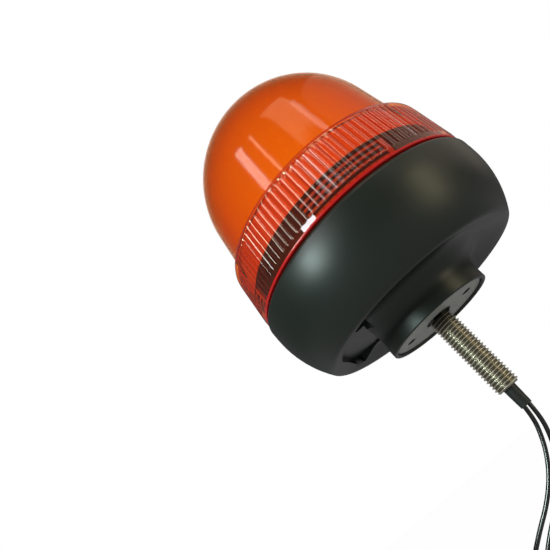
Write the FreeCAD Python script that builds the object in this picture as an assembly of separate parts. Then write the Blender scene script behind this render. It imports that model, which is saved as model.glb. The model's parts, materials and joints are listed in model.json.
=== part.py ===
import FreeCAD, Part
import os
from math import acos, cos, degrees, hypot, pi, radians, sin, sqrt, tan

# Single-bolt warning beacon with a twist-off amber lens over a static light module.
# Millimetres. Z = 0 is the mounting face, +Z runs up the axis to the top of the dome,
# and the hollow stud and the two flying leads hang below it.

V = FreeCAD.Vector
UP = V(0, 0, 1)

# ---- clearances -------------------------------------------------------------------------
fit_gap = 0.05          # a seal or a lead in its seat
seat_gap = 0.3          # parts of the twist lock at rest
slide_gap = 0.4         # lock ribs past the wall they run along
hole_gap = 0.25         # a plain hole around a screw or the stud, on the radius

# ---- stud and foot ----------------------------------------------------------------------
stud_r = 7.0            # M14 over the crests
stud_length = 50.0      # below the mounting face
stud_bore_r = 4.0
stud_chamfer = 1.2
shank_r = 8.0           # plain shank through the foot
head_edge = 1.0         # its corners, turned off
head_flats = 24.0
head_height = 7.0
foot_r = 32.5           # rim of the foot, which is the mounting face
foot_rim = 2.2          # width of that rim
foot_edge = 0.5
plate_inset = 1.5       # plate's face above the rim's face
plate_height = 5.0
plate_gap = 0.4         # around the plate
foot_floor = 6.0        # thickness of the foot's floor
screw_reach = 20.0      # plate screws off the axis
screw_r, screw_head_r, screw_head = 1.5, 2.4, 1.6
plate_screw_length = 7.0
gasket_r, gasket_height = 12.0, 1.0
counterbore = 3.4

# ---- base shell -------------------------------------------------------------------------
wall = 3.0
bowl_bulge = 1.1        # widest circle outside the lens rim
bowl_z = 51.0           # height of the widest circle
bowl_arc = 61.0         # radius of the bowl's side arc
lip_z = 15.0            # lowest circle of the bowl
lip_round = 4.0
recess_slope = 18.0     # degrees, from the lip in towards the foot
foot_fillet = 12.0      # sweep of the foot's flank into the recess
shoulder_z = 59.0       # ledge that the lens rim stands over
shoulder_round = 3.0
collar_wall = 3.0
collar_top = 77.4
collar_edge = 0.5
pocket_x, pocket_y = (-25.0, 34.0), (-54.0, -31.0)   # flat pocket in the recess
pocket_floor = 21.0
pocket_reach = 56.0     # its rounded side, just inside the lip
core_x, core_y = (24.0, 40.0), (-36.0, -27.0)        # deeper pocket at its end
core_floor = 25.0

# ---- twist lock -------------------------------------------------------------------------
lock_sectors = 4
lock_first = 12.0       # middle of the first sector
lock_arc = 40.0         # degrees of rib in each sector
lock_ribs = 4
lock_pitch = 3.2
lock_low = 62.6
lock_room = 2.0         # between the collar and the lens skirt
lens_rib = 1.2          # height of a lens rib
collar_rib = 1.4
stop_arc = 2.5          # degrees of the stop at the end of each row

# ---- lens -------------------------------------------------------------------------------
rim_z = 60.0            # lens rim, lowest edge
rim_r = 74.4
rim_band = 3.5          # plain band under the reeds
skirt_taper = 2.5       # on the radius, from the rim to the top of the skirt
skirt_top_z = 91.0
skirt_round = 4.2       # shoulder over the reeds
step_z = 96.5           # foot of the dome on the shoulder
dome_inset = 5.2        # crown sphere's radius inside the middle of the shoulder's round
dome_top = 181.0
dome_draft = 7.0        # degrees, the wall below the crown
lens_wall = 2.8
lock_wall = 3.4         # skirt at the twist lock
lock_room_z = 77.9      # top of the wide stretch inside the skirt
reed_count = 108
reed_depth = 0.6
seal_height = 1.9       # flat seal round the foot of the collar

# ---- light module -----------------------------------------------------------------------
post_count = 3
post_inset = 10.5       # posts inside the heat sink's edge
post_r = 4.0
sink_gap, sink_height = 1.5, 2.5
sink_z = 71.9           # underside of the heat sink
board_height = 1.6
led_board_inset = 2.0   # board's edge inside the heat sink's
led_size, led_height = 5.0, 1.4
led_rings = ((0.224, 4, 45.0), (0.496, 8, 22.5), (0.784, 12, 15.0))   # share, count, first
driver_r = 34.0
driver_z = 40.0         # underside of the driver board
driver_reach = 26.0     # its posts off the axis
driver_hole_r = 9.0
board_screw_length = 7.0
board_screw_r, board_screw_head_r, board_screw_head = 1.4, 2.7, 1.7
cap_r, cap_height, cap_edge, cap_place = 5.0, 13.0, 0.8, (-14.0, 14.0)
choke_r, choke_hole_r, choke_height, choke_place = 7.5, 3.0, 7.0, (0.0, -22.5)
choke_edge = 1.5
block_size, block_x = (10.0, 12.0, 10.0), 22.0
terminal_r, terminal_height, terminal_side = 1.7, 1.2, 2.6
terminal_sink = 0.4     # terminal screws under the top of their block
chip_size, chip_place = (6.0, 5.0, 1.6), (0.0, 20.0)
diode_size, diode_places = (4.4, 2.6, 2.2), ((-8.0, 24.0), (9.0, 15.0))
link_x, link_side, link_r = -13.0, 1.3, 0.8
link_header_size = (5.0, 8.0, 6.0)
link_hole_r = 3.0

# ---- leads ------------------------------------------------------------------------------
lead_r = 1.2
lead_side = 1.45        # each lead off the axis inside the stud
sleeve_r = 3.6
sleeve_top = -36.0
sleeve_end = -62.0
sleeve_flat = 2.2       # half thickness at its open end
tip_length, tip_r = 8.0, 0.7
sleeve_wall = 0.6
grommet_height, grommet_lip = 5.0, 2.0
inner_bends = ((0.035, 0.48), (0.2, 0.8), (0.53, 0.97))   # shares of the way out and up

# Route of each flying lead to its bare end, from its place in the sleeve's mouth.
lead_routes = {
    "lead_a": (-lead_side, [
        (0, -0.85, -7), (0.3, -3.75, -14.5), (0.8, -8.35, -23), (1.4, -15.55, -32),
        (1.6, -25.55, -40.5), (1.2, -37.55, -48), (0.2, -49.55, -56.5), (-1.2, -59.05, -68),
        (-2.5, -64.55, -82), (-3.2, -66.55, -97), (-3.4, -65.55, -112), (-3, -63.05, -126),
    ]),
    "lead_b": (lead_side, [
        (0, -0.55, -7.5), (-0.4, -3.05, -16), (-1.2, -7.65, -25.5), (-1.9, -15.25, -35),
        (-2.2, -25.45, -44), (-2, -37.45, -52), (-1.6, -48.95, -61), (-1.4, -57.45, -72.5),
        (-2, -61.95, -86), (-3, -62.95, -100.5), (-4.4, -61.45, -115), (-5.6, -58.45, -128),
    ]),
}


# ---- helpers ----------------------------------------------------------------------------
class Outline:
    """A closed outline in the half plane y = 0, given as (r, z) points, with arcs."""

    def __init__(self, r, z):
        self.here = self.start = V(r, 0, z)
        self.edges = []

    def to(self, r, z):
        there = V(r, 0, z)
        self.edges.append(Part.LineSegment(self.here, there).toShape())
        self.here = there
        return self

    def arc(self, centre, there):
        """The short arc about centre, from here to there."""
        c, end = V(centre[0], 0, centre[1]), V(there[0], 0, there[1])
        middle = (self.here - c) + (end - c)
        middle.normalize()
        through = c + middle * (end - c).Length
        self.edges.append(Part.Arc(self.here, through, end).toShape())
        self.here = end
        return self

    def face(self):
        if (self.here - self.start).Length > 1e-6:
            self.to(self.start.x, self.start.z)
        return Part.Face(Part.Wire(self.edges))

    def turned(self, angle=360.0):
        """The outline turned about Z, centred on the +X direction."""
        solid = self.face().revolve(V(0, 0, 0), UP, angle)
        if angle < 360.0:
            solid.rotate(V(0, 0, 0), UP, -angle / 2)
        return solid


def ring(inner, outer, low, high, angle=360.0):
    return Outline(inner, low).to(outer, low).to(outer, high).to(inner, high).turned(angle)


def rod(radius, low, high, x=0.0, y=0.0):
    return Part.makeCylinder(radius, high - low, V(x, y, low), UP)


def block(length, width, height, x, y, z, turn=0.0):
    """A box centred on x, y with its underside at z, turned about its own centre."""
    shape = Part.makeBox(length, width, height, V(x - length / 2, y - width / 2, z))
    shape.rotate(V(x, y, z), UP, turn)
    return shape


def around(shape, count, first=0.0):
    """Copies of a shape at equal angles about the axis."""
    copies = []
    for i in range(count):
        copy = shape.copy()
        copy.rotate(V(0, 0, 0), UP, first + i * 360.0 / count)
        copies.append(copy)
    return copies


def hex_prism(flats, low, high):
    corner = flats / sqrt(3)
    points = [V(corner * cos(radians(60 * i)), corner * sin(radians(60 * i)), low) for i in range(7)]
    return Part.Face(Part.makePolygon(points)).extrude(V(0, 0, high - low))


def screw(x, y, seat, length, radius, head_r, head, up=1):
    """A pan-head screw: its head's underside on seat, the head on the up side."""
    shank = Part.makeCylinder(radius, length, V(x, y, seat), UP * -up)
    top = Part.makeCylinder(head_r, head, V(x, y, seat), UP * up)
    rim = [e for e in top.Edges if abs(e.CenterOfMass.z - seat - up * head) < 1e-6]
    return shank.fuse(top.makeChamfer(head / 3, rim[:1])).removeSplitter()


def lead_path(points):
    """Straight runs joined by tangent arcs. Returns the wire and the arcs' radii."""
    points = [V(*p) for p in points]
    edges, radii, here = [], [], points[0]
    for before, corner, after in zip(points, points[1:], points[2:]):
        a, b = before - corner, after - corner
        reach = 0.45 * min(a.Length, b.Length)
        a.normalize()
        b.normalize()
        half_turn = (pi - acos(a.dot(b))) / 2
        start, end = corner + a * reach, corner + b * reach
        radius = reach / tan(half_turn)
        inward = (a + b).normalize()
        middle = corner + inward * (hypot(radius, reach) - radius)
        edges.append(Part.LineSegment(here, start).toShape())
        edges.append(Part.Arc(start, middle, end).toShape())
        radii.append(radius)
        here = end
    edges.append(Part.LineSegment(here, points[-1]).toShape())
    return Part.Wire(edges), radii


def tube(points, radius):
    path, radii = lead_path(points)
    direction = V(*points[1]) - V(*points[0])
    profile = Part.Wire(Part.Circle(V(*points[0]), direction, radius).toShape())
    return path.makePipeShell([profile], True, False), path.Length, radii


nodes = {}

# ---- heights and radii that follow -------------------------------------------------------
plate_top = plate_inset + plate_height
plate_r = foot_r - foot_rim - plate_gap
floor_top = plate_top + foot_floor
head_low = floor_top + gasket_height
head_top = head_low + head_height
screw_seat = plate_inset + counterbore
bowl_r = rim_r + bowl_bulge
skirt_top_r = rim_r - skirt_taper
skirt_inner_r = rim_r - lock_wall
collar_r = skirt_inner_r - lock_room
collar_in_r = collar_r - collar_wall
dome_r = skirt_top_r - skirt_round - dome_inset
dome_z = dome_top - dome_r
sink_r = collar_in_r - sink_gap
led_board_r = sink_r - led_board_inset
post_reach = sink_r - post_inset
led_board_z = sink_z + sink_height
led_z = led_board_z + board_height
driver_top = driver_z + board_height
post_places = [radians(i * 360.0 / post_count) for i in range(post_count)]
post_points = [(post_reach * cos(a), post_reach * sin(a)) for a in post_places]
driver_points = [(driver_reach * cos(a + pi / 3), driver_reach * sin(a + pi / 3)) for a in post_places]


# ---- stud and foot ----------------------------------------------------------------------
def make_stud():
    """Hollow bolt: hexagon head on the foot's floor, plain shank, then the M14 length."""
    corner_r, face_r = head_flats / sqrt(3), head_flats / 2
    crown = Outline(0, head_low).to(face_r, head_low).to(corner_r, head_low + head_edge)
    crown = crown.to(corner_r, head_top - head_edge).to(face_r, head_top).to(0, head_top)
    head = hex_prism(head_flats, head_low, head_top).common(crown.turned())
    body = Outline(0, -stud_length).to(stud_r - stud_chamfer, -stud_length)
    body = body.to(stud_r, -stud_length + stud_chamfer).to(stud_r, 0).to(shank_r, 0)
    body = body.to(shank_r, head_low).to(0, head_low).turned()
    bore = rod(stud_bore_r, -stud_length - 1, head_top + 1)
    return head.fuse(body).cut(bore).removeSplitter()


def make_foot_plate():
    """Steel disc let into the foot, with two counterbored screw holes."""
    hole_r = shank_r + hole_gap
    plate = Outline(hole_r, plate_inset).to(plate_r - foot_edge, plate_inset)
    plate = plate.to(plate_r, plate_inset + foot_edge).to(plate_r, plate_top)
    plate = plate.to(hole_r, plate_top).turned()
    for y in (-screw_reach, screw_reach):
        plate = plate.cut(rod(screw_r + hole_gap, plate_inset - 1, plate_top + 1, 0, y))
        plate = plate.cut(rod(screw_head_r + hole_gap, plate_inset - 1, screw_seat, 0, y))
    return plate


nodes["stud"] = make_stud()
nodes["foot_plate"] = make_foot_plate()
nodes["plate_screws"] = Part.makeCompound([
    screw(0, y, screw_seat, plate_screw_length, screw_r, screw_head_r, screw_head, -1)
    for y in (-screw_reach, screw_reach)
])
nodes["stud_gasket"] = ring(shank_r + hole_gap, gasket_r, floor_top, head_low)

# ---- base shell -------------------------------------------------------------------------
# The bowl's side is one arc. It runs into the lip's round, which runs into a shallow cone,
# and the cone sweeps down into the foot's flank. Both skins share these three centres.
slope = radians(recess_slope)
arc_c = (bowl_r - bowl_arc, bowl_z)
lip_c = (
    arc_c[0] + sqrt((bowl_arc - lip_round) ** 2 - (bowl_z - lip_z - lip_round) ** 2),
    lip_z + lip_round,
)
sweep_c = (
    foot_r + foot_fillet,
    lip_c[1] + (lip_c[0] - foot_r - foot_fillet) * tan(slope) - (lip_round + foot_fillet) / cos(slope),
)


def skin(depth):
    """Where the bowl's arc, lip, cone and sweep meet, on the skin that lies depth inside."""
    reach = hypot(lip_c[0] - arc_c[0], lip_c[1] - arc_c[1])
    side = tuple(a + (b - a) * (bowl_arc - depth) / reach for a, b in zip(arc_c, lip_c))
    normal = (sin(slope), cos(slope))
    cone_out = tuple(c - (lip_round - depth) * n for c, n in zip(lip_c, normal))
    cone_in = tuple(c + (foot_fillet + depth) * n for c, n in zip(sweep_c, normal))
    return side, cone_out, cone_in


def bowl_shell():
    """Foot, recess, bowl, ledge and collar as one turned wall."""
    side, cone_out, cone_in = skin(0.0)
    in_side, in_cone_out, in_cone_in = skin(wall)
    pocket_r = plate_r + plate_gap
    shape = Outline(shank_r + hole_gap, plate_top).to(pocket_r, plate_top)
    shape.to(pocket_r, foot_edge).to(pocket_r + foot_edge, 0).to(foot_r - foot_edge, 0)
    shape.to(foot_r, foot_edge)
    shape.to(foot_r, sweep_c[1]).arc(sweep_c, cone_in).to(*cone_out)
    shape.arc(lip_c, side).arc(arc_c, (bowl_r, bowl_z)).to(bowl_r, shoulder_z - shoulder_round)
    ledge_r = bowl_r - shoulder_round
    shape.arc((ledge_r, shoulder_z - shoulder_round), (ledge_r, shoulder_z))
    shape.to(collar_r, shoulder_z).to(collar_r, collar_top - collar_edge)
    shape.to(collar_r - collar_edge, collar_top)
    shape.to(collar_in_r, collar_top).to(collar_in_r, shoulder_z - wall)
    shape.to(bowl_r - wall, shoulder_z - 2 * wall).to(bowl_r - wall, bowl_z)
    shape.arc(arc_c, in_side).to(*in_cone_out).to(*in_cone_in)
    floor_r = sweep_c[0] - sqrt((foot_fillet + wall) ** 2 - (floor_top - sweep_c[1]) ** 2)
    shape.arc(sweep_c, (floor_r, floor_top)).to(shank_r + hole_gap, floor_top)
    return shape.turned()


def slab(x, y, low, high, margin=0.0):
    """The box between the x and y limits, kept inside the pocket's rounded side."""
    corner = V(x[0] - margin, y[0] - margin, low)
    box = Part.makeBox(x[1] - x[0] + 2 * margin, y[1] - y[0] + 2 * margin, high - low, corner)
    return box.common(rod(pocket_reach + margin, low, high))


def pocket_pads():
    """Thicker floor inside the bowl over the two pockets."""
    _, cone_out, cone_in = skin(0.0)
    recess = Outline(foot_r, -1).to(foot_r, sweep_c[1]).arc(sweep_c, cone_in).to(*cone_out)
    recess = recess.to(cone_out[0], -1).turned()
    pads = [slab(pocket_x, pocket_y, lip_z, pocket_floor + wall, wall)]
    pads.append(slab(core_x, core_y, lip_z, core_floor + wall, wall))
    return [pad.cut(recess) for pad in pads]


def collar_ribs():
    """Rows of lock ribs round the collar; a lens rib locks under each one."""
    rib_r = skirt_inner_r - slide_gap
    ribs = []
    for i in range(lock_ribs):
        low = lock_low + i * lock_pitch + lens_rib + seat_gap
        rib = ring(collar_r - 1, rib_r, low, low + collar_rib, lock_arc)
        ribs += around(rib, lock_sectors, lock_first)
    return ribs


def make_base_shell():
    """Black moulding: bowl, recess, foot, ledge, collar, lock ribs and board posts."""
    cone_z = skin(0.0)[1][1] + (skin(0.0)[1][0] - post_reach) * tan(slope)
    posts = [rod(post_r, cone_z + wall / 2, sink_z, *p) for p in post_points]
    posts += [rod(post_r, floor_top - 1, driver_z, *p) for p in driver_points]
    shell = bowl_shell().fuse(posts + collar_ribs() + pocket_pads())
    pilot = board_screw_r + fit_gap
    depth = board_screw_length + 1
    cuts = [rod(pilot, sink_z - depth, sink_z + 1, *p) for p in post_points]
    cuts += [rod(pilot, driver_z - depth, driver_z + 1, *p) for p in driver_points]
    tip = screw_seat + plate_screw_length
    cuts += [rod(screw_r + fit_gap, plate_top - 1, tip + fit_gap, 0, y) for y in (-screw_reach, screw_reach)]
    cuts += [slab(pocket_x, pocket_y, plate_top, pocket_floor)]
    cuts += [slab(core_x, core_y, plate_top, core_floor)]
    return shell.cut(cuts).removeSplitter()


nodes["base_shell"] = make_base_shell()
nodes["lens_seal"] = ring(collar_r + fit_gap, skirt_inner_r - fit_gap, shoulder_z, shoulder_z + seal_height)


# ---- lens -------------------------------------------------------------------------------
def dome_outline(depth, outline):
    """Carry an outline on from the foot of the dome to the axis: cone, then crown sphere."""
    draft = radians(dome_draft)
    radius = dome_r - depth
    tangent = (radius * cos(draft), dome_z + radius * sin(draft))
    outline.to(tangent[0] + (tangent[1] - step_z) * tan(draft), step_z).to(*tangent)
    return outline.arc((0, dome_z), (0, dome_z + radius))


def flutes(crest_r, z):
    """A ring of shallow V flutes, with one crest for each reed."""
    half_step = pi / reed_count
    points = []
    for i in range(2 * reed_count + 1):
        r = crest_r - reed_depth * (i % 2)
        points.append(V(r * cos(i * half_step), r * sin(i * half_step), z))
    return Part.makePolygon(points)


def make_lens():
    """Amber moulding: plain band, reeded skirt, shoulder, dome, and the lock ribs inside."""
    reeds_z = rim_z + rim_band
    root = reed_depth + 0.05
    skin_out = Outline(0, rim_z).to(rim_r, rim_z).to(rim_r, reeds_z).to(rim_r - root, reeds_z)
    skin_out.to(skirt_top_r - root, skirt_top_z).to(skirt_top_r, skirt_top_z)
    shoulder_c = (skirt_top_r - skirt_round, skirt_top_z)
    skin_out.arc(shoulder_c, (shoulder_c[0], skirt_top_z + skirt_round))
    outer = dome_outline(0.0, skin_out).turned()
    reeds = Part.makeLoft([flutes(rim_r, reeds_z), flutes(skirt_top_r, skirt_top_z)], True, True)
    skin_in = Outline(0, rim_z - 1).to(skirt_inner_r, rim_z - 1).to(skirt_inner_r, lock_room_z)
    skin_in.to(skirt_top_r - lens_wall, skirt_top_z).to(shoulder_c[0], skirt_top_z + skirt_round - lens_wall)
    inner = dome_outline(lens_wall, skin_in).turned()
    lens = outer.fuse(reeds).cut(inner)
    rib_in = collar_r + slide_gap
    ribs = []
    for i in range(lock_ribs):
        low = lock_low + i * lock_pitch
        ribs += around(ring(rib_in, skirt_inner_r + 1, low, low + lens_rib, lock_arc), lock_sectors, lock_first)
    stop_low, stop_high = lock_low, lock_low + (lock_ribs - 1) * lock_pitch + lens_rib
    stop = ring(rib_in, skirt_inner_r + 1, stop_low, stop_high, stop_arc)
    past_rib = (lock_arc + stop_arc) / 2 + degrees(seat_gap / collar_r)
    ribs += around(stop, lock_sectors, lock_first + past_rib)
    return lens.fuse(ribs).removeSplitter()


nodes["lens"] = make_lens()

# ---- light module -----------------------------------------------------------------------
sink = rod(sink_r, sink_z, led_board_z)
led_board = rod(led_board_r, led_board_z, led_z)
through = [rod(board_screw_r + hole_gap, sink_z - 1, led_z + 1, *p) for p in post_points]
nodes["heat_sink"] = sink.cut(through + [rod(link_hole_r, sink_z - 1, led_board_z + 1, link_x, 0)])
nodes["led_board"] = led_board.cut(through)
leds = []
for share, count, first in led_rings:
    leds += around(block(led_size, led_size, led_height, share * led_board_r, 0, led_z), count, first)
nodes["leds"] = Part.makeCompound(leds)
nodes["led_board_screws"] = Part.makeCompound([
    screw(x, y, led_z, board_screw_length + led_z - sink_z, board_screw_r, board_screw_head_r, board_screw_head)
    for x, y in post_points
])

# ---- driver board and what is on it -----------------------------------------------------
driver = ring(driver_hole_r, driver_r, driver_z, driver_top)
nodes["driver_board"] = driver.cut([
    rod(board_screw_r + hole_gap, driver_z - 1, driver_top + 1, *p) for p in driver_points
])
nodes["driver_screws"] = Part.makeCompound([
    screw(x, y, driver_top, board_screw_length, board_screw_r, board_screw_head_r, board_screw_head)
    for x, y in driver_points
])
can = rod(cap_r, driver_top, driver_top + cap_height)
can_rim = [e for e in can.Edges if abs(e.CenterOfMass.z - driver_top - cap_height) < 1e-6]
can = can.makeChamfer(cap_edge, can_rim[:1])
nodes["capacitors"] = Part.makeCompound([
    can.translated(V(cap_place[0], side * cap_place[1], 0)) for side in (-1, 1)
])
choke = ring(choke_hole_r, choke_r, driver_top, driver_top + choke_height)
choke = choke.makeChamfer(choke_edge, [e for e in choke.Edges if e.Closed])
nodes["choke"] = choke.translated(V(*choke_place, 0))
nodes["driver_chip"] = block(*chip_size, *chip_place, driver_top)
nodes["diodes"] = Part.makeCompound([block(*diode_size, *place, driver_top) for place in diode_places])
lead_z = driver_top + block_size[2] / 2
terminal_block = block(*block_size, block_x, 0, driver_top)
entries = []
for y in (-lead_side, lead_side):
    entry = Part.makeCylinder(lead_r + fit_gap, block_size[0] / 2, V(block_x - block_size[0] / 2, y, lead_z), V(1, 0, 0))
    entries.append(entry)
block_top = driver_top + block_size[2]
well_floor = block_top - terminal_sink - terminal_height
wells, terminals = [], []
for y in (-terminal_side, terminal_side):
    wells.append(rod(terminal_r + hole_gap, well_floor, block_top + 1, block_x, y))
    terminals.append(rod(terminal_r, well_floor, block_top - terminal_sink, block_x, y))
nodes["terminal_block"] = terminal_block.cut(entries + wells)
nodes["terminal_screws"] = Part.makeCompound(terminals)
nodes["link_header"] = block(*link_header_size, link_x, 0, driver_top)
nodes["link_wires"] = Part.makeCompound([
    rod(link_r, driver_top + link_header_size[2], led_board_z, link_x, side * link_side) for side in (-1, 1)
])

# ---- leads, sleeve and grommet ----------------------------------------------------------
bore_top = head_top + grommet_height
lead_bores = [rod(lead_r + fit_gap, sleeve_end - 1, bore_top, 0, y) for y in (-lead_side, lead_side)]
grommet = rod(stud_bore_r - fit_gap, head_top - grommet_height, head_top)
grommet = grommet.fuse(rod(stud_bore_r + grommet_lip, head_top, head_top + grommet_lip)).removeSplitter()
nodes["lead_grommet"] = grommet.cut(lead_bores)


def oval(half_wide, half_thick, z):
    """An ellipse about the axis, its long way along Y, the way the two leads lie."""
    return Part.Wire(Part.Ellipse(V(0, half_wide, z), V(-half_thick, 0, z), V(0, 0, z)).toShape())


nearly_round = 0.01
sleeve_oval = oval(sleeve_r, sleeve_r - nearly_round, -stud_length)
sleeve_mouth = oval(lead_side + lead_r + sleeve_wall, sleeve_flat, sleeve_end)
sleeve = Part.Face(sleeve_oval).extrude(V(0, 0, sleeve_top + stud_length))
sleeve = sleeve.fuse(Part.makeLoft([sleeve_oval, sleeve_mouth], True, True))
nodes["lead_sleeve"] = sleeve.cut(lead_bores)

block_face = block_x - block_size[0] / 2
for name, (side, steps) in lead_routes.items():
    inner = [(0, side, sleeve_end), (0, side, head_top + lead_r)]
    inner += [(out * block_face, side, head_top + up * (lead_z - head_top)) for out, up in inner_bends]
    inner += [(block_face, side, lead_z), (block_x - lead_r, side, lead_z)]
    nodes[name + "_inner"], _, _ = tube(inner, lead_r)
    route = [(0, side, sleeve_end)] + [(x, side + y, sleeve_end + z) for x, y, z in steps]
    solid, length, radii = tube(route, lead_r)
    nodes[name] = solid
    end, before = V(*route[-1]), V(*route[-2])
    nodes[name + "_tip"] = Part.makeCylinder(tip_r, tip_length, end, end - before)
    print(name, "length %.1f" % length, "volume ratio %.4f" % (solid.Volume / (pi * lead_r ** 2 * length)))
    print("  radii", [round(r, 1) for r in radii])

os.makedirs("parts", exist_ok=True)
for name, shape in nodes.items():
    if not shape.isValid() or not shape.Solids:
        print("INVALID", name)
    shape.exportStep("parts/%s.step" % name)
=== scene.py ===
import json

import bmesh
import bpy
import numpy as np
from mathutils import Matrix, Vector


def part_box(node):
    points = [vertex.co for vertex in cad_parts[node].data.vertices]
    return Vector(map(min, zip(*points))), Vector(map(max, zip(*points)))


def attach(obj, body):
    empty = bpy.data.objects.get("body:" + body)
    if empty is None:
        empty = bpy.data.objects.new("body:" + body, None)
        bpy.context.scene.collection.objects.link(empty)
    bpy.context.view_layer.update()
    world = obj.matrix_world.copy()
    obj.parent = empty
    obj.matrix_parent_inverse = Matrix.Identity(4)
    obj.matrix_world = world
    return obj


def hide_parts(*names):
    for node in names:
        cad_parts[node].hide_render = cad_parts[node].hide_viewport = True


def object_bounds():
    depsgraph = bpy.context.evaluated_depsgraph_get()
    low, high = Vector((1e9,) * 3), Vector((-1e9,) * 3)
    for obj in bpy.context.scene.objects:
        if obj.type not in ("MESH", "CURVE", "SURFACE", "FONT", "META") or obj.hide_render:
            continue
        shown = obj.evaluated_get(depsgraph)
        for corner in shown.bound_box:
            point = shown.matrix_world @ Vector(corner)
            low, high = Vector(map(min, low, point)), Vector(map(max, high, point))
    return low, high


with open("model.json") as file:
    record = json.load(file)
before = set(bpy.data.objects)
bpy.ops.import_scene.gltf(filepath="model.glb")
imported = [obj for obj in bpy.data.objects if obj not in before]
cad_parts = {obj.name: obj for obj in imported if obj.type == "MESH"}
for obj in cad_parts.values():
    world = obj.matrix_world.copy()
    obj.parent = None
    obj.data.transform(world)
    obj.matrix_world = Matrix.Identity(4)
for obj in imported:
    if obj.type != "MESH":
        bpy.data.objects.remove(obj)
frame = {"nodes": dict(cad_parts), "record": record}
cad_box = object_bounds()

# Warning beacon: a clear amber dome on a satin black base, hung on its threaded stud.
# Metres, in the CAD frame: Z = 0 is the mounting face and +Z runs up through the dome.

MM = 0.001
TAU = 2 * np.pi

# lens: a drafted dome over a reeded skirt, with a twist lock inside its rim
lens_low, lens_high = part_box("lens")
rim_r, rim_z, top_z = lens_high[0], lens_low[2], lens_high[2]
dome_r, dome_draft = 62.5 * MM, 7.0
dome_z = top_z - dome_r
step_z = rim_z + 36.5 * MM
skirt_top_r, skirt_top_z = rim_r - 2.5 * MM, rim_z + 31 * MM
skirt_lean, skirt_round = 0.2 * MM, 4.2 * MM
lens_wall, rim_edge = 1.3 * MM, 0.5 * MM
reed_count, reed_depth, reed_run_out = 108, 0.6 * MM, 1.2 * MM
reed_low, reed_high = rim_z + 3.5 * MM, rim_z + 31.5 * MM
lock_r, lock_room_z = 71.0 * MM, rim_z + 17.9 * MM
rib_rows, rib_z, rib_pitch = 4, rim_z + 2.6 * MM, 3.2 * MM
rib_height, rib_reach, rib_arc = 1.2 * MM, 1.6 * MM, 40.0
stop_top_z, stop_arc, stop_turn = rim_z + 13.4 * MM, 2.5, 21.5
lock_sectors = 12.0 + 90.0 * np.arange(4)

# stud: an M14 thread with a bore, and the plate round it with two screw wells
stud_r, stud_end = 7.0 * MM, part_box("stud")[0][2]
pitch, thread_depth, thread_top = 2.0 * MM, 1.15 * MM, 0.6 * MM
bore_r, bore_seen, bore_edge = 4.0 * MM, 14 * MM, 0.4 * MM
stud_chamfer, chamfer_slope = 1.3 * MM, 1.1
screw_reach = 20 * MM

# leads: control points in millimetres, lengths in metres
lead_r = 1.2 * MM
lead_routes = {
    "lead_a": [
        (0, -1.45, -62), (0, -2.3, -69), (0.3, -5.2, -76.5), (0.8, -9.8, -85), (1.4, -17, -94),
        (1.6, -27, -102.5), (1.2, -39, -110), (0.2, -51, -118.5), (-1.2, -60.5, -130),
        (-2.5, -66, -144), (-3.2, -68, -159), (-3.4, -67, -174), (-3.0, -64.5, -188),
    ],
    "lead_b": [
        (0, 1.45, -62), (0, 0.9, -69.5), (-0.4, -1.6, -78), (-1.2, -6.2, -87.5),
        (-1.9, -13.8, -97), (-2.2, -24, -106), (-2.0, -36, -114), (-1.6, -47.5, -123),
        (-1.4, -56, -134.5), (-2.0, -60.5, -148), (-3.0, -61.5, -162.5), (-4.4, -60, -177),
        (-5.6, -57, -190),
    ],
}


# ---- camera -----------------------------------------------------------------------------
def make_camera():
    """The camera below and beside the beacon, rolled so that the stud points down right."""
    place = (0.31018, 0.0, -0.05165)
    right, down = Vector((-0.3721, 0.6936, -0.6169)), Vector((-0.1122, -0.6933, -0.7118))
    right.normalize()
    down = (down - right * down.dot(right)).normalized()
    data = bpy.data.cameras.new("camera")
    data.lens, data.sensor_width = 36.21, 36.0
    data.shift_x, data.shift_y = -0.0239, 0.0861
    data.clip_start = 0.01
    camera = bpy.data.objects.new("camera", data)
    turn = Matrix((right, -down, right.cross(-down))).transposed().to_4x4()
    camera.matrix_world = Matrix.Translation(place) @ turn
    bpy.context.collection.objects.link(camera)
    bpy.context.scene.camera = camera


make_camera()


# ---- cords ------------------------------------------------------------------------------
def make_lead(name, points):
    """A round lead along a NURBS line through its route's control points."""
    curve = bpy.data.curves.new(name, "CURVE")
    curve.dimensions = "3D"
    spline = curve.splines.new("NURBS")
    spline.points.add(len(points) - 1)
    for point, place in zip(spline.points, points):
        point.co = (*(x * MM for x in place), 1.0)
        point.radius = lead_r
    spline.order_u = 3
    spline.use_endpoint_u = True
    spline.resolution_u = 12
    curve.bevel_depth = 1.0
    curve.bevel_resolution = 5
    curve.use_fill_caps = True
    lead = bpy.data.objects.new(name + "_wire", curve)
    bpy.context.collection.objects.link(lead)
    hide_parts(name)
    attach(lead, "base")
    return lead


leads = {name: make_lead(name, points) for name, points in lead_routes.items()}


# ---- mesh helpers -----------------------------------------------------------------------
def add_mesh(name, points, faces, sharp=30.0):
    """A mesh of points and of arrays of faces, smooth but for edges past sharp degrees."""
    mesh = bpy.data.meshes.new(name)
    corners = [face for group in faces for face in group.tolist()]
    mesh.from_pydata(np.asarray(points, float).tolist(), [], corners)
    mesh.validate()
    mesh.shade_smooth()
    mesh.set_sharp_from_angle(angle=np.radians(sharp))
    piece = bpy.data.objects.new(name, mesh)
    bpy.context.collection.objects.link(piece)
    return piece


def lattice(rows, columns, wrap=True):
    """Quads of a grid of rows by columns points, the columns joined end to end if wrap."""
    across = columns if wrap else columns - 1
    i, j = np.meshgrid(np.arange(rows - 1), np.arange(across), indexing="ij")
    here, there = i * columns, (i + 1) * columns
    k = (j + 1) % columns
    return np.stack([here + j, here + k, there + k, there + j], -1).reshape(-1, 4)


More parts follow.
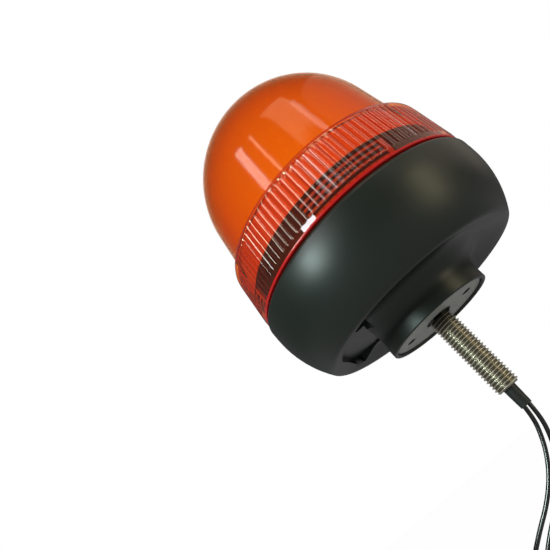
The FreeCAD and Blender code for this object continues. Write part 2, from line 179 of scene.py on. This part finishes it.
def turned(name, profile, columns, shape=None, sharp=30.0):
    """A profile of (r, z) points turned about Z. shape(r, z, angle) may change the radius.

    Point (i, j) is (r_i cos a_j, r_i sin a_j, z_i), with a_j equal steps round the circle.
    The profile runs with the solid on its left, so that an outer wall goes up, and an end
    of it that is on the axis closes to a pole.
    """
    profile = np.asarray(profile, float)
    on_axis = 1e-9
    first, last = profile[0, 0] < on_axis, profile[-1, 0] < on_axis
    body = profile[(1 if first else 0):(-1 if last else None)]
    angle = np.arange(columns) * TAU / columns
    r, z = np.repeat(body[:, :1], columns, 1), np.repeat(body[:, 1:], columns, 1)
    if shape is not None:
        r = shape(r, z, angle[None, :])
    points = np.stack([r * np.cos(angle), r * np.sin(angle), z], -1).reshape(-1, 3)
    faces = [lattice(len(body), columns)]
    ring = np.arange(columns)
    after, top = (ring + 1) % columns, (len(body) - 1) * columns
    if first:
        pole = 0 * ring + len(points)
        points = np.vstack([points, [0, 0, profile[0, 1]]])
        faces.append(np.stack([pole, after, ring], -1))
    if last:
        pole = 0 * ring + len(points)
        points = np.vstack([points, [0, 0, profile[-1, 1]]])
        faces.append(np.stack([top + ring, top + after, pole], -1))
    return add_mesh(name, points, faces, sharp)


def arc(centre, radius, start, end, count):
    """Points of a circular arc in the (r, z) half plane, angles in degrees from +r."""
    angle = np.radians(np.linspace(start, end, count))
    return np.stack([centre[0] + radius * np.cos(angle), centre[1] + radius * np.sin(angle)], -1)


def line(start, end, count):
    """Evenly spaced points from start up to, but not at, end."""
    t = np.linspace(0, 1, count, endpoint=False)[:, None]
    return np.asarray(start) * (1 - t) + np.asarray(end) * t


def join_points(mesh):
    """Joins the points that lie on one another."""
    work = bmesh.new()
    work.from_mesh(mesh)
    bmesh.ops.remove_doubles(work, verts=work.verts, dist=0.001 * MM)
    work.to_mesh(mesh)
    work.free()


def dressed(node):
    """A copy of a CAD node's mesh with its points joined, smooth between its edges.

    The edge angle is small, because the CAD's curves turn by less from face to face.
    """
    cad_edge = 9.0
    mesh = frame["nodes"][node].data.copy()
    piece = bpy.data.objects.new(node + "_skin", mesh)
    bpy.context.collection.objects.link(piece)
    join_points(mesh)
    mesh.shade_smooth()
    mesh.set_sharp_from_angle(angle=np.radians(cad_edge))
    mesh.materials.clear()
    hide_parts(node)
    return piece


# ---- shader writing ---------------------------------------------------------------------
class Wire:
    """An output socket whose operators add Math nodes to its tree."""

    def __init__(self, tree, socket):
        self.tree, self.socket = tree, socket

    def math(self, operation, *others):
        return self.tree.node("ShaderNodeMath", [self, *others], operation=operation)

    def __add__(self, other):
        return self.math("ADD", other)

    def __sub__(self, other):
        return self.math("SUBTRACT", other)

    def __rsub__(self, other):
        return self * -1 + other

    def __mul__(self, other):
        return self.math("MULTIPLY", other)

    __radd__, __rmul__ = __add__, __mul__

    def step(self, start, end):
        """0 below start, 1 above end and smooth between; reversed if end is the lower."""
        inputs = {"Value": self, "From Min": start, "From Max": end}
        return self.tree.node("ShaderNodeMapRange", inputs, interpolation_type="SMOOTHSTEP")


class ShaderTree:
    """A shader tree being written, from empty, onto an output node of the kind end."""

    def __init__(self, tree, end):
        self.tree = tree
        self.tree.nodes.clear()
        self.surface = self.tree.nodes.new(end).inputs["Surface"]

    def put(self, socket, value):
        if isinstance(value, Wire):
            self.tree.links.new(value.socket, socket)
        elif hasattr(value, "__len__") and len(value) == 3 and len(socket.default_value) == 4:
            socket.default_value = (*value, 1.0)
        else:
            socket.default_value = value

    def node(self, kind, inputs=(), output=0, **settings):
        """Any node: its settings first, then its inputs, by name or in order."""
        node = self.tree.nodes.new(kind)
        for name, value in settings.items():
            setattr(node, name, value)
        pairs = inputs.items() if isinstance(inputs, dict) else enumerate(inputs)
        for key, value in pairs:
            self.put(node.inputs[key], value)
        return Wire(self, node.outputs[output])

    def show(self, shader):
        """The shader as what the output node shows."""
        self.put(self.surface, shader)

    def ray(self, kind):
        return self.node("ShaderNodeLightPath", output=kind)

    def mix(self, share, first, second):
        """first where share is 0 and second where it is 1, as colours."""
        inputs = {0: share, 6: first, 7: second}
        return self.node("ShaderNodeMix", inputs, output=2, data_type="RGBA")

    def layer(self, share, first, second):
        """The first shader with a share of the second over it."""
        return self.node("ShaderNodeMixShader", [share, first, second])


class Finish(ShaderTree):
    """A material being written, on one Principled shader unless told otherwise."""

    def __init__(self, name, **constants):
        self.material = bpy.data.materials.new(name)
        self.material.use_nodes = True
        super().__init__(self.material.node_tree, "ShaderNodeOutputMaterial")
        self.shader = self.node("ShaderNodeBsdfPrincipled")
        self.show(self.shader)
        self.set(**constants)

    def set(self, **values):
        """Principled inputs by name, with _ for each space."""
        for name, value in values.items():
            self.put(self.shader.socket.node.inputs[name.replace("_", " ")], value)
        return self

    def place(self, axis=None):
        """The point in metres, or its X, Y or Z alone."""
        point = self.node("ShaderNodeTexCoord", output="Object")
        return self.node("ShaderNodeSeparateXYZ", [point], output=axis) if axis else point

    def turns(self):
        """The angle about Z, in whole turns from +X."""
        parts = [self.place("Y"), self.place("X")]
        return self.node("ShaderNodeMath", parts, operation="ARCTAN2") * (1 / TAU) + 1.0

    def radius(self, reach=0.0):
        """The distance from the nearer of the upright lines at X = 0 and Y = reach, -reach."""
        x, y = self.place("X"), self.place("Y").math("ABSOLUTE") - reach
        return (x * x + y * y).math("SQRT")

    def noise(self, scale, detail=2.0, squeeze=(1, 1, 1)):
        """Noise with about scale waves in a metre, and squeeze times as many on each axis."""
        where = self.node("ShaderNodeMapping", {"Vector": self.place(), "Scale": squeeze})
        return self.node("ShaderNodeTexNoise", {"Vector": where, "Scale": scale, "Detail": detail})

    def bump(self, height, distance, strength):
        inputs = {"Height": height, "Distance": distance, "Strength": strength}
        self.set(Normal=self.node("ShaderNodeBump", inputs))
        return self

    def on(self, piece):
        piece.data.materials.clear()
        piece.data.materials.append(self.material)


def amber_finish():
    """Clear amber moulding, deeper where it is seen aslant, in the reeds' roots and at the rim.

    The skirt mirrors hard. Its reeds' roots hold painted shade. The dome's gloss is softer,
    fullest on its inner skin and faint at its outline, where a paler tint is a painted
    reflection. The rim is solid red, painted light for the glow its edge pipes, and the
    lamps' light passes through all of it.
    """
    # outline is a painted reflection: a pale tint at the dome's outline in place of its gloss
    amber, amber_slant, outline = (0.95, 0.38, 0.02), (0.72, 0.15, 0.0), (0.92, 0.50, 0.36)
    # the reeds' root colour is painted shade, standing in for the dark lines that refraction draws
    # there
    skirt_amber, reed_root_shade = (0.85, 0.18, 0.005), (0.48, 0.035, 0.002)
    # the rim's red is painted light, standing in for the glow of light piped along the lens's edge
    skirt_slant, painted_rim_glow, shadow_amber = (0.62, 0.05, 0.01), (0.62, 0.006, 0.004), (0.9, 0.42, 0.12)
    unbent, skirt_gloss, dome_gloss = 1.01, 1.65, 1.55
    reed_fade, skin, step_fade = 1.5 * MM, 0.5 * MM, 3 * MM
    rim_top, rim_fade = rim_z + 1 * MM, 0.1 * MM
    f = Finish("amber_lens", Roughness=0.0, IOR=unbent, Transmission_Weight=1.0)
    f.set(Coat_Weight=1.0, Coat_IOR=skirt_gloss, Coat_Roughness=0.02)
    z = f.place("Z")
    facing = f.node("ShaderNodeLayerWeight", {"Blend": 0.5}, output="Facing")

    # skirt: painted shade darkens the reeds' roots, which fade out at both ends, and it is darker
    # where seen aslant
    root = (2 * (f.turns() * reed_count).math("FRACT") - 1).math("ABSOLUTE").step(0.55, 1.0)
    root = root * z.step(reed_low, reed_low + reed_fade) * z.step(reed_high, reed_high - reed_fade)
    f.set(Base_Color=f.mix(facing * 0.8, f.mix(root * 0.75, skirt_amber, reed_root_shade), skirt_slant))

    # dome: deeper aslant, then paler at its very outline, a painted reflection
    tint = f.mix(facing.step(0.62, 1.0), f.mix(facing, amber, amber_slant), outline)

    # its gloss: full on the sphere's inner skin and less than half of that elsewhere
    high_up = z - dome_z
    depth = (f.radius().math("POWER", 2.0) + high_up * high_up).math("SQRT")
    inside = depth.step(dome_r - skin, dome_r - skin - 0.2 * MM) * high_up.step(0.0, 0.01 * MM)
    weight = (0.45 + 0.55 * inside) * (1 - 0.9 * facing.step(0.8, 1.0))
    dome_look = {"Base Color": tint, "Roughness": 0.0, "IOR": unbent, "Transmission Weight": 1.0}
    dome_look.update({"Coat Weight": weight, "Coat IOR": dome_gloss, "Coat Roughness": 0.10})

    # skirt, dome above the step, solid rim below painted red for the light piped along the lens's
    # edge, and clear for the lamps' light
    dome = f.node("ShaderNodeBsdfPrincipled", dome_look)
    rim = f.node("ShaderNodeBsdfPrincipled", {"Base Color": painted_rim_glow, "Roughness": 0.25})
    clear = f.node("ShaderNodeBsdfTransparent", {"Color": shadow_amber})
    look = f.layer(z.step(step_z - step_fade, step_z), f.shader, dome)
    look = f.layer(z.step(rim_top + rim_fade, rim_top - rim_fade), look, rim)
    f.show(f.layer(f.ray("Is Shadow Ray"), look, clear))
    return f


def black_plastic_finish():
    """Satin black moulding with the faintest grain and slow waviness in its gloss."""
    f = Finish("black_plastic", Base_Color=(0.008, 0.012, 0.009), IOR=1.45)
    f.set(Roughness=0.33 + 0.12 * f.noise(35.0, 3.0))
    return f.bump(f.noise(2600.0), 0.02 * MM, 0.35)


def plate_finish():
    """Grey plate: satin with a fine rolled grain, and black in its two screw wells."""
    grey, worn, black = (0.16, 0.16, 0.155), (0.21, 0.208, 0.20), (0.002, 0.002, 0.002)
    well_r, well_edge = 2.80 * MM, 0.12 * MM
    f = Finish("plate_grey")
    well = f.radius(screw_reach).step(well_r, well_r - well_edge)
    f.set(Base_Color=f.mix(well, f.mix(f.noise(500.0, 4.0), grey, worn), black))
    f.set(Roughness=0.42 + 0.15 * f.noise(160.0, 3.0, (1, 6, 1)))
    return f.bump(f.noise(1800.0), 0.02 * MM, 0.4)


def nickel_finish():
    """Plated steel thread, with painted shade in its roots and a painted shadow under the plate."""
    bright, worn = (0.88, 0.85, 0.74), (0.78, 0.74, 0.62)
    # root is painted shade for the thread's roots, and the other colour a painted shadow under the
    # plate
    root, plate_shadow = (0.26, 0.23, 0.17), (0.05, 0.045, 0.03)
    f = Finish("nickel_steel", Metallic=1.0)
    steel = f.mix(f.noise(180.0, 4.0), bright, worn)
    # the roots get the painted shade, and the crests keep the bright steel
    crest = f.radius().step(stud_r - 0.9 * thread_depth, stud_r - 0.2 * thread_depth)
    # painted shadow of the plate, full next to it and fading out from 1 mm to 9 mm under it
    shade = f.place("Z").step(-9 * MM, -1 * MM) * 0.8
    f.set(Base_Color=f.mix(shade, f.mix(crest, root, steel), plate_shadow))
    return f.set(Roughness=0.30 + 0.08 * f.noise(200.0, 1.0))


def plain_finish(name, colour, roughness, metallic=0.0, ior=1.5, grain=900.0, spread=0.12):
    """A moulded or plated finish whose colour and gloss waver a little with the grain."""
    f = Finish(name, Metallic=metallic, IOR=ior)
    dark = tuple(c * (1 - spread) for c in colour)
    f.set(Base_Color=f.mix(f.noise(grain / 5, 3.0), colour, dark))
    f.set(Roughness=roughness + 0.08 * f.noise(grain))
    return f.bump(f.noise(grain * 2), 0.01 * MM, 0.3)


finishes = {
    "amber_lens": amber_finish(),
    "black_plastic": black_plastic_finish(),
    "plate_grey": plate_finish(),
    "nickel_steel": nickel_finish(),
}
plain_looks = {
    "amber_rib": dict(colour=(0.32, 0.055, 0.005), roughness=0.25, grain=400.0, spread=0.1),
    "black_rubber": dict(colour=(0.015, 0.015, 0.015), roughness=0.6),
    "black_screw": dict(colour=(0.002, 0.002, 0.002), roughness=0.9),
    "heat_sink_alloy": dict(colour=(0.75, 0.76, 0.77), roughness=0.35, metallic=1.0),
    "board_white": dict(colour=(0.30, 0.28, 0.24), roughness=0.5, grain=300.0, spread=0.05),
    "led_body": dict(colour=(1.0, 0.90, 0.45), roughness=0.5, grain=400.0, spread=0.1),
    "zinc_screw": dict(colour=(0.7, 0.7, 0.71), roughness=0.3, metallic=1.0),
    "board_green": dict(colour=(0.01, 0.12, 0.04), roughness=0.3, grain=300.0, spread=0.2),
    "can_alloy": dict(colour=(0.65, 0.66, 0.68), roughness=0.3, metallic=1.0),
    "ferrite": dict(colour=(0.04, 0.04, 0.042), roughness=0.5),
    "chip_black": dict(colour=(0.02, 0.02, 0.02), roughness=0.45),
    "block_green": dict(colour=(0.02, 0.2, 0.05), roughness=0.4),
    "lead_black": dict(colour=(0.006, 0.006, 0.006), roughness=0.14, ior=1.6),
    "sleeve_black": dict(colour=(0.012, 0.016, 0.014), roughness=0.42, grain=500.0, spread=0.3),
    "tinned_copper": dict(colour=(0.72, 0.66, 0.58), roughness=0.3, metallic=1.0),
}
for name, look in plain_looks.items():
    finishes[name] = plain_finish(name, **look)


def finish_piece(piece, body, slot, finish=None):
    """Rides the piece on its body and gives it the slot's finish, or the one named."""
    finishes[finish or slot].on(piece)
    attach(piece, body)


# ---- lens -------------------------------------------------------------------------------
def crown(depth, count):
    """The dome's skin that lies depth inside its outer one, from its foot up to the pole.

    A wall leaning in by the draft runs up to where it touches a sphere of radius
    dome_r - depth, and the sphere's arc goes on from there.
    """
    radius, lean = dome_r - depth, np.radians(dome_draft)
    end = (radius * np.cos(lean), dome_z + radius * np.sin(lean))
    foot = (end[0] + (end[1] - step_z) * np.tan(lean), step_z)
    sphere = arc((0, dome_z), radius, dome_draft, 90, count)
    sphere[-1, 0] = 0.0
    return np.vstack([line(foot, end, 6), sphere])


def reeds(r, z, angle):
    """Rounded reeds: r less depth times (s squared less q squared), never less than none.

    s runs from 0 on a reed's crest to 1 in the root beside it, and q from 0 to 1 over the
    run-out at each end of the reeds. Only the wall wider than skirt_least is reeded.
    """
    skirt_least = lock_r - 1 * MM
    s = np.abs(2 * np.mod(angle * reed_count / TAU, 1.0) - 1)
    q_low = np.clip(1 - (z - reed_low) / reed_run_out, 0, 1)
    q_high = np.clip(1 - (reed_high - z) / reed_run_out, 0, 1)
    on_skirt = (z >= reed_low) & (z <= reed_high) & (r > skirt_least)
    groove = np.clip(s ** 2 - np.maximum(q_low, q_high) ** 2, 0, 1)
    return r - reed_depth * groove * on_skirt


def make_lens():
    """Outer and inner skins of the lens as one closed turned wall, reeded on its skirt.

    The outer profile runs from the pole down the crown, round the shoulder's arc and down
    straight walls, in short steps where the reeds run out. The inner one runs back up.
    """
    round_r = skirt_top_r - skirt_round
    top, upper = (skirt_top_r, skirt_top_z), (skirt_top_r + skirt_lean, reed_high - reed_run_out)
    lower, foot, edge = ((rim_r, z) for z in (reed_low + reed_run_out, reed_low, rim_z + rim_edge))
    outer = np.vstack([
        crown(0.0, 26)[::-1],
        arc((round_r, skirt_top_z), skirt_round, 90, 0, 9)[:-1],
        line(top, upper, 6),
        line(upper, lower, 4),
        line(lower, foot, 6),
        line(foot, edge, 3),
        [edge, (rim_r - rim_edge, rim_z)],
    ])
    inner = np.vstack([
        [(lock_r + rim_edge, rim_z), (lock_r, rim_z + rim_edge)],
        [(lock_r, lock_room_z), (skirt_top_r - lens_wall, skirt_top_z)],
        [(round_r, skirt_top_z + skirt_round - lens_wall)],
        crown(lens_wall, 18),
    ])
    profile, columns = np.vstack([outer, inner])[::-1], reed_count * 10
    return turned("lens_shell", profile, columns, reeds, 20.0)


lens = make_lens()
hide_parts("lens")
finish_piece(lens, "lens", "amber_lens")


def ring_sectors(name, low, high, degrees, middles, steps=24):
    """Square-edged ribs of a ring inside lock_r, cut to sectors of the given degrees.

    The four corners (r, z) are carried round equal angle steps, and both ends are closed.
    """
    r = lock_r - rib_reach * np.array([1, 0, 0, 1])
    z = np.array([low, low, high, high])
    near, last = np.array([0, 1, 2, 3]), 4 * (steps - 1)
    ends = np.array([near, last + near[::-1]])
    points, faces = [], []
    for sector, middle in enumerate(middles):
        angle = np.radians(middle + np.linspace(-0.5, 0.5, steps) * degrees)[:, None]
        points.append(np.stack([r * np.cos(angle), r * np.sin(angle), z + 0 * angle], -1))
        quads = (lattice(steps, 4)[:, ::-1], ends)
        faces += [4 * steps * sector + group for group in quads]
    return add_mesh(name, np.vstack(points).reshape(-1, 3), faces)


def make_lock_ribs():
    """Four rows of amber ribs in four sectors, and the upright stop at the end of each."""
    rows = [rib_z + rib_pitch * row for row in range(rib_rows)]
    ribs = [
        ring_sectors("lens_rib_%d" % row, z, z + rib_height, rib_arc, lock_sectors)
        for row, z in enumerate(rows)
    ]
    stops = lock_sectors + stop_turn
    return ribs + [ring_sectors("lens_stops", rib_z, stop_top_z, stop_arc, stops, 4)]


for rib in make_lock_ribs():
    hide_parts("lens")
    finish_piece(rib, "lens", "amber_lens", "amber_rib")


# ---- stud -------------------------------------------------------------------------------
def make_stud():
    """M14 thread wound as a helical strip, one pitch wide and one row each 1 / 96 turn.

    Point (i, j) lies at angle a_i and height a_i pitch / 2 pi + s_j pitch, with
    r = crest less depth times a rounded triangle wave of s_j. The heights are held
    between the two ends, and a chamfer cone holds the radius at the free end.
    """
    per_turn, across = 96, 14
    steep, flat, rounding = 1.3, 0.1, 0.35
    turns = (thread_top - stud_end) / pitch + 1
    angle = (np.arange(int(per_turn * turns) + 1) * TAU / per_turn)[:, None]
    share = np.linspace(0, 1, across)[None, :]
    wave = np.clip(np.abs(2 * share - 1) * steep - flat, 0, 1)
    wave = wave * wave * (3 - 2 * wave) * rounding + wave * (1 - rounding)
    z = np.clip(stud_end - pitch + angle * pitch / TAU + share * pitch, stud_end, thread_top)
    chamfer = stud_r - stud_chamfer + (z - stud_end) * chamfer_slope
    r = np.minimum(stud_r - thread_depth * wave + 0 * z, chamfer)
    points = np.stack([r * np.cos(angle), r * np.sin(angle), z], -1).reshape(-1, 3)
    return add_mesh("stud_thread", points, [lattice(len(angle), across, False)[:, ::-1]], 75.0)


def make_stud_end():
    """The stud's flat end, its bore's mouth and the bore, turned about Z."""
    flat_r = stud_r - stud_chamfer
    profile = [
        (bore_r, stud_end + bore_seen), (bore_r, stud_end + bore_edge),
        (bore_r + bore_edge, stud_end), (flat_r, stud_end), (flat_r, stud_end + 0.3 * MM),
    ]
    return turned("stud_end", profile, 96)


for piece in (make_stud(), make_stud_end()):
    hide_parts("stud")
    finish_piece(piece, "base", "nickel_steel")

# ---- everything else keeps its CAD shape ------------------------------------------------
for part in frame["record"]["subparts"]:
    if part["node"] not in ("lens", "stud", *leads):
        finish_piece(dressed(part["node"]), "base", part["material_slot"])
for name, lead in leads.items():
    finishes["lead_black"].on(lead)

# ---- light ------------------------------------------------------------------------------
target = Vector((0, 0, 0.07))


def softbox(name, direction, size, power, colour=(1, 1, 1), away=0.9, mirrored=True):
    """A rectangular soft lamp, away times direction from the target and turned to it.

    The size is in metres and the power in watts. mirrored is whether glossy pieces show it.
    """
    data = bpy.data.lights.new(name, "AREA")
    data.shape = "RECTANGLE"
    data.size, data.size_y = size
    data.energy, data.color = power, colour
    lamp = bpy.data.objects.new(name, data)
    lamp.location = target + away * Vector(direction)
    lamp.rotation_euler = (target - lamp.location).to_track_quat("-Z", "Y").to_euler()
    lamp.visible_glossy, lamp.visible_transmission = mirrored, False
    bpy.context.collection.objects.link(lamp)


def make_world():
    """Dim room light, with a background that differs by the kind of ray.

    It is white to the camera and through the lens, half as bright through the lens after
    a mirror, and dark grey in a mirror.
    """
    room_level, mirror_level, after_mirror = 0.09, 0.14, 0.5
    world = bpy.data.worlds.new("room")
    bpy.context.scene.world = world
    world.use_nodes = True
    w = ShaderTree(world.node_tree, "ShaderNodeOutputWorld")
    depth = {"Value": w.ray("Glossy Depth"), "To Min": 1.0, "To Max": after_mirror}
    through = w.ray("Is Transmission Ray") * w.node("ShaderNodeMapRange", depth)
    level = w.ray("Is Camera Ray").math("MAXIMUM", room_level).math("MAXIMUM", through)
    level = level.math("MAXIMUM", w.ray("Is Glossy Ray") * mirror_level)
    w.show(w.node("ShaderNodeBackground", {"Color": (1, 1, 1), "Strength": level}))


def make_floor():
    """A pale floor well under the hanging leads.

    It is near white to the camera and through the lens, and grey in a mirror.
    """
    half, below, white_share, mirror_level = 3.0, 60 * MM, 0.985, 0.36
    level = cad_box[0][2] - below
    square = ((-half, -half), (half, -half), (half, half), (-half, half))
    corners = [(x, y, level) for x, y in square]
    floor = add_mesh("floor", corners, [np.array([[0, 1, 2, 3]])])
    f = Finish("floor_pale", Base_Color=(0.86, 0.86, 0.85), Roughness=0.8)
    seen = f.ray("Is Camera Ray") + f.ray("Is Transmission Ray") * (1 - f.ray("Glossy Depth"))
    mirrored = f.ray("Is Glossy Ray")
    strength = seen + mirrored * mirror_level
    glow = f.node("ShaderNodeEmission", {"Color": (1, 1, 1), "Strength": strength})
    f.show(f.layer(seen.step(0, 1) * white_share + mirrored, f.shader, glow))
    f.on(floor)


make_world()
make_floor()
warm, cream, amber_sky, teal, cool = (
    (1.0, 0.85, 0.7), (1.0, 0.90, 0.58), (1.0, 0.78, 0.5), (0.80, 1.0, 0.96), (0.95, 0.95, 1.0)
)
softbox("window", (0.66, -0.38, 0.64), (0.12, 0.40), 1.35)
softbox("window_side", (0.75, -0.10, 0.66), (0.04, 0.36), 0.3, warm)
softbox("roof_light", (0.45, 0.66, 0.60), (0.08, 0.36), 0.3)
softbox("skylight", (0.47, 0.40, 0.79), (0.34, 0.26), 0.75, amber_sky)
softbox("sky", (-0.25, 0.85, 0.48), (1.1, 0.8), 1.3, warm)
softbox("low_window", (0.770, -0.580, 0.262), (0.20, 0.18), 5.0, teal)
softbox("glare", (0.86, -0.32, 0.387), (0.22, 0.05), 0.5, cool)
softbox("warm_side", (0.40, 0.91, -0.02), (0.3, 0.5), 1.7, cream)
softbox("overhead", (-0.1, 0.1, 1.0), (0.9, 0.9), 6.0, away=1.0, mirrored=False)
bpy.context.scene.view_settings.view_transform = "Standard"
